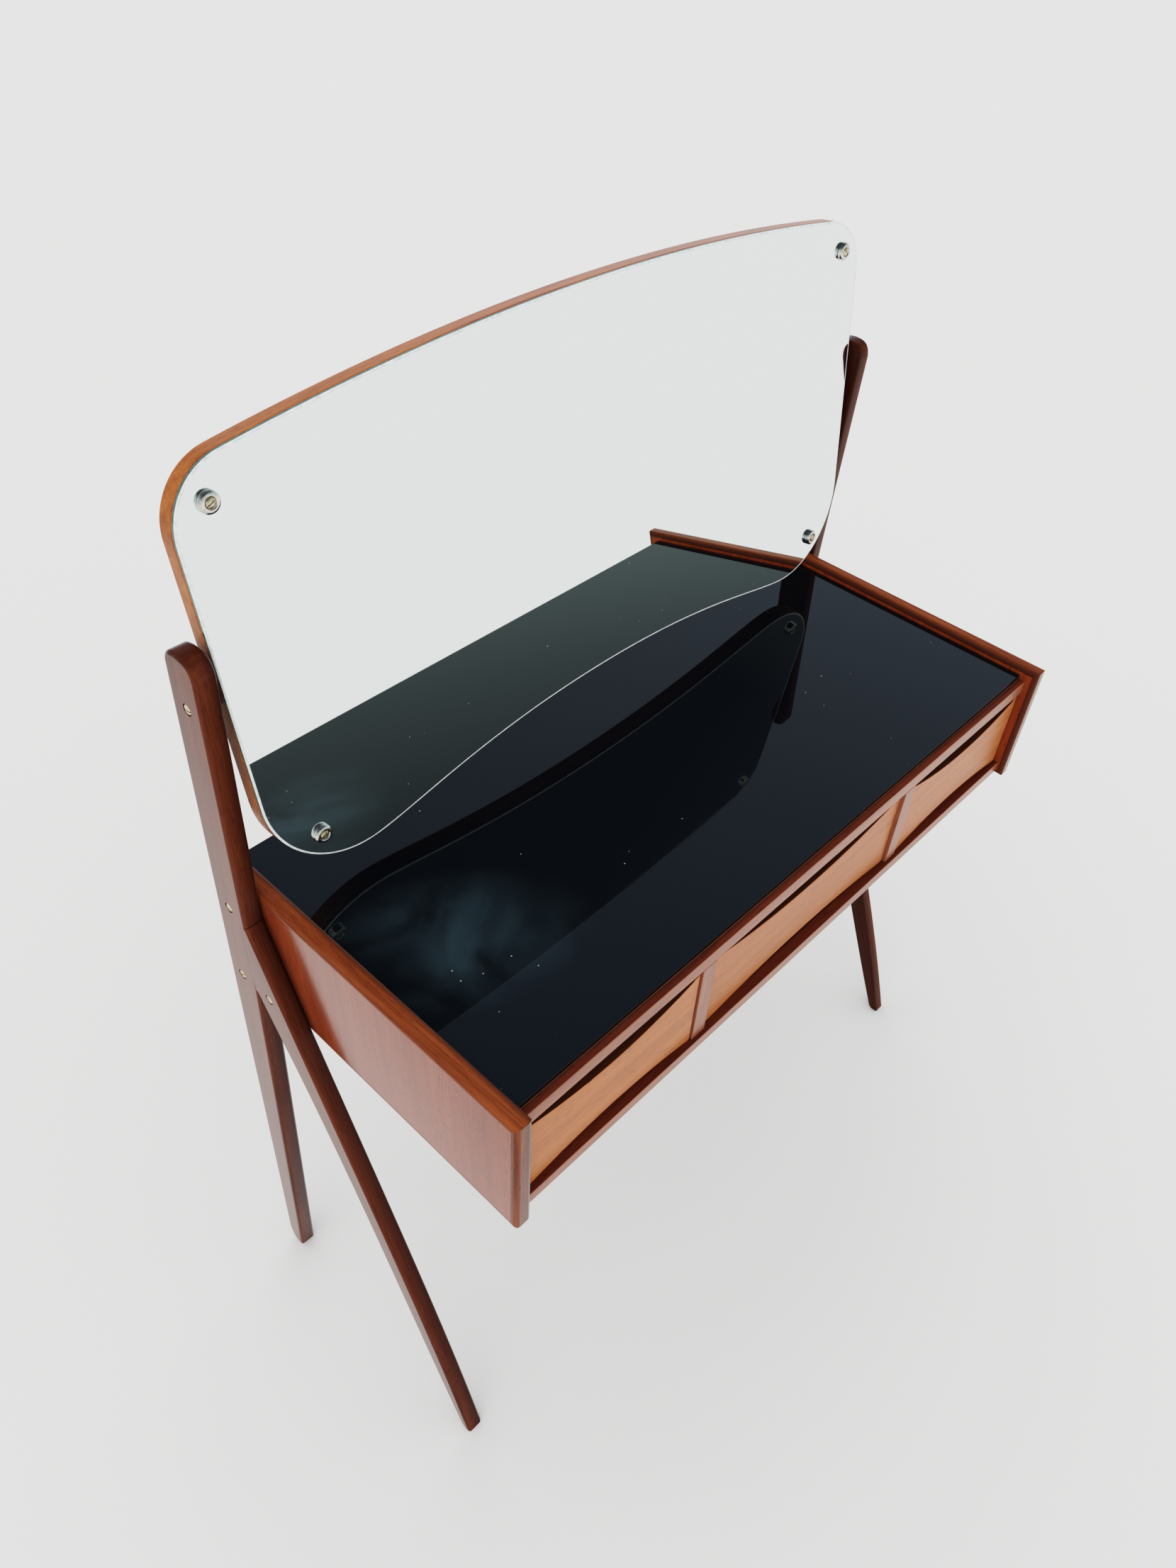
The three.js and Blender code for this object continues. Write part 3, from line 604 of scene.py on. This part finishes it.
wiped = put(tree, "ShaderNodeTexGradient", {"gradient_type": "SPHERICAL"},
            Vector=around.outputs[0]).outputs["Fac"]
smear = put(tree, "ShaderNodeMath", {"operation": "MULTIPLY"},
            indexed={0: grade(tree, wiped, 0.0, 0.6), 1: grade(tree, haze, 0.35, 0.7)})
film_grey = blend(tree, smear.outputs[0], (0.0025, 0.0035, 0.0055, 1), (0.026, 0.045, 0.056, 1))
dusty = blend(tree, dust.outputs[0], film_grey, (0.5, 0.5, 0.48, 1))
tree.links.new(dusty, shader.inputs["Base Color"])
tree.links.new(grade(tree, haze, 0.4, 0.8, 0.02, 0.05), shader.inputs["Roughness"])
shader.inputs["IOR"].default_value = 1.52
sheet = ease(block(*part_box("glass_top")), sheet_arris, lambda p, d: abs(d.z) < 0.5, 3)
add_piece("black_glass_top", sheet, black_glass, "frame", ["glass_top"])

# ---------------------------------------------------------------- drawers
# The fronts are paler teak with the grain across, shaped like a bow tie so that fingers reach
# over and under the middle. Behind each is a plain beech box with a plywood bottom.
front_pale = (0.55, 0.185, 0.06, 1)
front_deep = (0.4, 0.12, 0.033, 1)
arch_dip = 17 * mm
arch_rise = 12 * mm
front_arris = 1.1 * mm
corner_round = 4 * mm
front_steps = 28
# Painted shade: the fronts' top edges take a near-black copy of the teak, for the dark gap under
# the rail.
shaded_edge = wood("drawer_front_upper_edge_painted_shade", (1, 0, 0.01), (0.07, 0.02, 0.01, 1),
                   (0.04, 0.011, 0.006, 1), 0.4, 90.0, 0.5, 0.2)
beech = wood("drawer_beech", (0, 1, 0), (0.42, 0.27, 0.14, 1), (0.33, 0.2, 0.1, 1), 0.3, 50.0,
             0.5, 0.3)


def bow(x0, x1, z, bend):
    """A shallow arch between two ends at height z, `bend` high or deep in the middle."""
    spots = [i / front_steps for i in range(front_steps + 1)]
    return [(x0 + (x1 - x0) * t, z + bend * 4 * t * (1 - t)) for t in spots]


for nth, name in enumerate(("left", "middle", "right")):
    low, high = map(Vector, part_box(f"drawer_front_{name}"))
    lower = bow(low.x + corner_round, high.x - corner_round, low.z, arch_rise)
    upper = bow(high.x, low.x, high.z, -arch_dip)
    knuckle = slow_curve((high.x - corner_round, low.z), (high.x - 1 * mm, low.z),
                         (high.x, low.z + 1 * mm), (high.x, low.z + corner_round), 5)
    heel = [(low.x + high.x - x, z) for x, z in reversed(knuckle)]
    outline = lower[:-1] + knuckle + upper + [(low.x, low.z + corner_round)] + heel[:-1]
    points = [Vector((x, low.y, z)) for x, z in outline]
    front = prism(points, (0, high.y - low.y, 0), front_arris)
    teak = wood(f"drawer_front_teak_{name}", (1, 0, 0.012 * (nth - 1)), front_pale, front_deep,
                0.75, 70.0, 0.35, 0.6, (0, 0, 0.37 * nth))
    for face in front.faces:
        if face.normal.z > 0.8:
            face.material_index = 1
    front = add_piece(f"bow_front_{name}", front, teak, f"drawer_{name}",
                      [f"drawer_front_{name}"])
    front.data.materials.append(shaded_edge)
    for part in ("side_{}_a", "side_{}_b", "back_{}", "bottom_{}"):
        repaint("drawer_" + part.format(name), beech)

# ---------------------------------------------------------------- mirror
# Plate glass, silvered on the back, screwed through cups to a teak board of the same outline:
# a slow arch on top, round shoulders, and a waved lower edge. The board hangs on two pivots.
mirror_joint = next(j for j in frame["joints"] if j["name"] == "mirror_tilt")
pivot = Vector(mirror_joint["pos_m"])
rest_lean = math.radians(7.59)
tilt = Matrix.Translation(pivot) @ Matrix.Rotation(-rest_lean, 4, "X")
board_half = 8 * mm
pane_back = -8.4 * mm
pane_front = -12.9 * mm
board_arris = 1.2 * mm
pane_arris = 0.8 * mm
arch_radius = 2700 * mm
arch_top = 217 * mm
shoulder_radius = 58 * mm
shoulder_x = 369.5 * mm
lobe_radius = 97 * mm
lobe = Vector((323, 0, -111)) * mm
waist_z = -172 * mm
arch_centre = Vector((0, 0, arch_top - arch_radius))
shoulder_z = arch_centre.z + math.sqrt((arch_radius - shoulder_radius) ** 2 - shoulder_x ** 2)
shoulder_at = Vector((shoulder_x, 0, shoulder_z))


def arc(centre, radius, start, end, steps):
    """Points on an arc in the mirror's plane, its last point left to the next stretch."""
    turns = [start + (end - start) * i / steps for i in range(steps)]
    return [centre + Vector((math.cos(a), 0, math.sin(a))) * radius for a in turns]


def mirror_outline(y):
    gap = shoulder_at - lobe
    side = math.atan2(gap.z, gap.x) - math.acos((lobe_radius - shoulder_radius) / gap.length)
    join = math.atan2(shoulder_at.z - arch_centre.z, shoulder_at.x)
    lowest = lobe.z - lobe_radius
    wave = slow_curve((0, waist_z), (182 * mm, waist_z), (276 * mm, lowest), (lobe.x, lowest), 36)
    half = [Vector((x, 0, z)) for x, z in wave]
    half += arc(lobe, lobe_radius, -math.pi / 2, side, 24)
    half += [lobe + Vector((math.cos(side), 0, math.sin(side))) * lobe_radius]
    half += arc(shoulder_at, shoulder_radius, side, join, 18)
    half += arc(arch_centre, arch_radius, join, math.pi / 2, 40)
    top = [Vector((0, 0, arch_top))]
    other = [Vector((-p.x, 0, p.z)) for p in reversed(half[1:])]
    return [p + Vector((0, y, 0)) for p in half + top + other]


cup_spots = [("upper_left", -395.8, 157.2, 23), ("upper_right", 395.8, 157.2, 126),
             ("lower_left", -370.4, -169.6, 69), ("lower_right", 370.4, -169.6, 6)]
board_wood = wood("mirror_board_teak", (1, 0, 0.01), (0.45, 0.15, 0.04, 1),
                  (0.25, 0.07, 0.02, 1), 0.5, 110.0, 0.3, 0.4)
board = prism(mirror_outline(-board_half), (0, 2 * board_half, 0), board_arris, 3)
bmesh.ops.transform(board, matrix=tilt, verts=board.verts)
add_piece("mirror_backing", board, board_wood, "mirror", ["mirror_board"])

silver, tree, shader = new_material("silvered_glass")
where = put(tree, "ShaderNodeTexCoord").outputs["Object"]
freckle = put(tree, "ShaderNodeTexVoronoi", Vector=where, Scale=75.0).outputs["Distance"]
patch = put(tree, "ShaderNodeTexNoise", Vector=where, Scale=11.0, Detail=2.0).outputs[0]
spots = put(tree, "ShaderNodeMath", {"operation": "MULTIPLY"},
            indexed={0: grade(tree, freckle, 0.07, 0.04), 1: grade(tree, patch, 0.58, 0.64)})
tree.links.new(blend(tree, spots.outputs[0], (0.9, 0.95, 0.93, 1), (0.8, 0.84, 0.83, 1)),
               shader.inputs["Base Color"])
tree.links.new(grade(tree, spots.outputs[0], 0.0, 1.0, 1.0, 0.35), shader.inputs["Metallic"])
shader.inputs["Roughness"].default_value = 0.012

ground_edge, tree, shader = new_material("green_glass_edge")
where = put(tree, "ShaderNodeTexCoord").outputs["Object"]
grind = put(tree, "ShaderNodeTexNoise", Vector=where, Scale=260.0, Detail=3.0).outputs[0]
tree.links.new(blend(tree, grade(tree, grind, 0.3, 0.7), (0.03, 0.06, 0.05, 1),
                     (0.09, 0.14, 0.12, 1)), shader.inputs["Base Color"])
tree.links.new(grade(tree, grind, 0.3, 0.7, 0.1, 0.3), shader.inputs["Roughness"])

# Painted highlight: the glass's arrises are painted near white for the bright line along the
# bevel.
arris_painted_highlight, tree, shader = new_material("glass_arris_painted_highlight")
where = put(tree, "ShaderNodeTexCoord").outputs["Object"]
grind = put(tree, "ShaderNodeTexNoise", Vector=where, Scale=200.0, Detail=3.0).outputs[0]
tree.links.new(blend(tree, grade(tree, grind, 0.3, 0.7), (0.6, 0.67, 0.66, 1),
                     (0.9, 0.95, 0.94, 1)), shader.inputs["Base Color"])
shader.inputs["Roughness"].default_value = 0.3

pane = prism(mirror_outline(pane_front), (0, pane_back - pane_front, 0), pane_arris, 1)
for face in pane.faces:
    flat = abs(face.normal.y)
    face.material_index = 0 if flat > 0.99 else 1 if flat < 0.1 else 2
# Each ring goes into the wider of the two flat faces at that moment, the front one if equal,
# so the front gets the first and last ring and the hidden back gets the middle one.
rim_rings = ((0.7 * mm, 2), (0.9 * mm, 1), (0.5 * mm, 2))
for ring_width, finish in rim_rings:
    widest = min(pane.faces, key=lambda f: f.calc_center_median().y - 1000 * f.calc_area())
    ring = bmesh.ops.inset_individual(pane, faces=[widest], thickness=ring_width)
    for face in ring["faces"]:
        face.material_index = finish
bmesh.ops.transform(pane, matrix=tilt, verts=pane.verts)
glass = add_piece("silvered_pane", pane, silver, "mirror", ["mirror_glass"])
glass.data.materials.append(ground_edge)
glass.data.materials.append(arris_painted_highlight)

# ---------------------------------------------------------------- metal finishes
# The cups are nickel-plated brass, turned and polished, by now a little worn. All screws are
# plain brass, dulled by age and brighter in small rubbed patches.
nickel_look = (0.8, 0.78, 0.74, 1)
brass_look = (0.78, 0.68, 0.5, 1)


def metal(name, colour, dull, smooth, worn):
    """Plated metal, brighter where it is rubbed and dull in its hollows."""
    made, tree, shader = new_material(name)
    where = put(tree, "ShaderNodeTexCoord").outputs["Object"]
    rub = put(tree, "ShaderNodeTexNoise", Vector=where, Scale=420.0, Detail=4.0).outputs[0]
    tint = blend(tree, grade(tree, rub, 0.35, 0.65), dull, colour)
    tree.links.new(tint, shader.inputs["Base Color"])
    tree.links.new(grade(tree, rub, 0.3, 0.7, smooth, worn), shader.inputs["Roughness"])
    shader.inputs["Metallic"].default_value = 1.0
    return made


nickel = metal("worn_nickel", nickel_look, (0.58, 0.54, 0.49, 1), 0.1, 0.26)
brass = metal("dull_brass", brass_look, (0.52, 0.42, 0.28, 1), 0.22, 0.42)

# ---------------------------------------------------------------- cups and their screws
# Turned cup washers hold the glass at its four corners. A slotted screw sits in each cup.
cup_section = [(2.7, 0), (8.7, 0), (9.0, 0.4), (9.0, 2.7), (8.85, 3.3), (8.3, 4.1), (7.4, 4.7),
               (6.4, 5.0), (5.6, 5.0), (5.1, 4.8), (4.8, 4.4), (2.7, 1.6), (2.7, 0)]
screw_section = [(0, 5.55), (1.5, 5.5), (2.8, 5.25), (3.7, 4.8), (4.15, 4.3), (4.2, 4.0),
                 (2.0, 1.9), (2.0, -14), (0, -15)]


def turned(section, steps=48):
    """A profile of (radius, height) in mm, turned about +Z."""
    bm = bmesh.new()
    verts = [bm.verts.new((r * mm, 0, h * mm)) for r, h in section]
    edges = [bm.edges.new(pair) for pair in zip(verts, verts[1:])]
    bmesh.ops.spin(bm, geom=verts + edges, cent=(0, 0, 0), axis=(0, 0, 1),
                   angle=2 * math.pi, steps=steps, use_merge=True)
    bmesh.ops.remove_doubles(bm, verts=bm.verts, dist=0.001 * mm)
    bmesh.ops.recalc_face_normals(bm, faces=bm.faces)
    return bm


def slotted(section, top, radius, width, depth, angle):
    """A turned screw with a screwdriver slot sawn across its head."""
    half = Vector((radius * 1.4, width / 2, depth)) * mm
    slot = block(-half, half)
    place = Matrix.Translation((0, 0, top * mm)) @ Matrix.Rotation(math.radians(angle), 4, "Z")
    bmesh.ops.transform(slot, matrix=place, verts=slot.verts)
    return cut(turned(section), [slot])


forward = Matrix.Rotation(math.pi / 2, 4, "X")
for name, x, z, angle in cup_spots:
    seat = tilt @ Matrix.Translation((x * mm, pane_front - 0.3 * mm, z * mm)) @ forward
    cup = turned(cup_section)
    bmesh.ops.transform(cup, matrix=seat, verts=cup.verts)
    add_piece(f"cup_{name}", cup, nickel, "mirror", [f"cup_washer_{name}"], 50)
    pin = slotted(screw_section, top=5.6, radius=4.2, width=1.1, depth=1.3, angle=angle)
    bmesh.ops.transform(pin, matrix=seat, verts=pin.verts)
    add_piece(f"glass_screw_{name}", pin, brass, "mirror",
              [f"cup_screw_{name}"], 50)

# ---------------------------------------------------------------- case and pivot screws
# Raised countersunk screws, slotted, each seated in a round hole so that only the crown of
# its head stands above the leg's outer face.
case_section = [(0, 0), (1.6, -0.05), (3.2, -0.35), (4.4, -0.85), (4.9, -1.4), (5.0, -1.9),
                (4.8, -3.2), (2.2, -3.4), (2.2, -34), (0, -35)]
pivot_section = [(r if h > -3.3 else min(r + 0.8, 3.0), h if h > -30 else h - 3.5)
                 for r, h in case_section[:-1]] + [(0, -38.5)]
head_proud = 0.6 * mm
screw_turns = {"upper": 62, "lower": 128, "front": 24, "pivot": 90}
for side, way in (("left", -1), ("right", 1)):
    outward = Matrix.Rotation(way * math.pi / 2, 4, "Y")
    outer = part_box(f"rear_upright_{side}")[0 if way < 0 else 1][0] + way * head_proud
    spots = dict(zip(("upper", "lower", "front"), side_view(screw_places)))
    spots["pivot"] = side_view([pivot_place])[0]
    for which, spot in spots.items():
        section = pivot_section if which == "pivot" else case_section
        body = "mirror" if which == "pivot" else "frame"
        node = f"pivot_screw_{side}" if which == "pivot" else f"case_screw_{which}_{side}"
        pin = slotted(section, top=0, radius=5.0, width=1.3, depth=1.3,
                      angle=screw_turns[which])
        seat = Matrix.Translation((outer, spot.y, spot.z)) @ outward
        bmesh.ops.transform(pin, matrix=seat, verts=pin.verts)
        add_piece(f"slotted_{node}", pin, brass, body, [node], 50)

# ---------------------------------------------------------------- pivot spacers and inserts
# A pressed fibre washer on each pivot screw keeps the mirror off its post and gives the drag
# that holds it at any tilt. The screw bites into a brass insert let into the board's edge.
fibre, tree, shader = new_material("pressed_fibre")
where = put(tree, "ShaderNodeTexCoord").outputs["Object"]
mottle = put(tree, "ShaderNodeTexNoise", Vector=where, Scale=300.0, Detail=4.0).outputs[0]
tree.links.new(blend(tree, grade(tree, mottle, 0.3, 0.7), (0.02, 0.015, 0.012, 1),
                     (0.06, 0.04, 0.03, 1)), shader.inputs["Base Color"])
shader.inputs["Roughness"].default_value = 0.7
for side in ("left", "right"):
    repaint(f"pivot_spacer_{side}", fibre)
    repaint(f"pivot_insert_{side}", brass)

low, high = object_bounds()
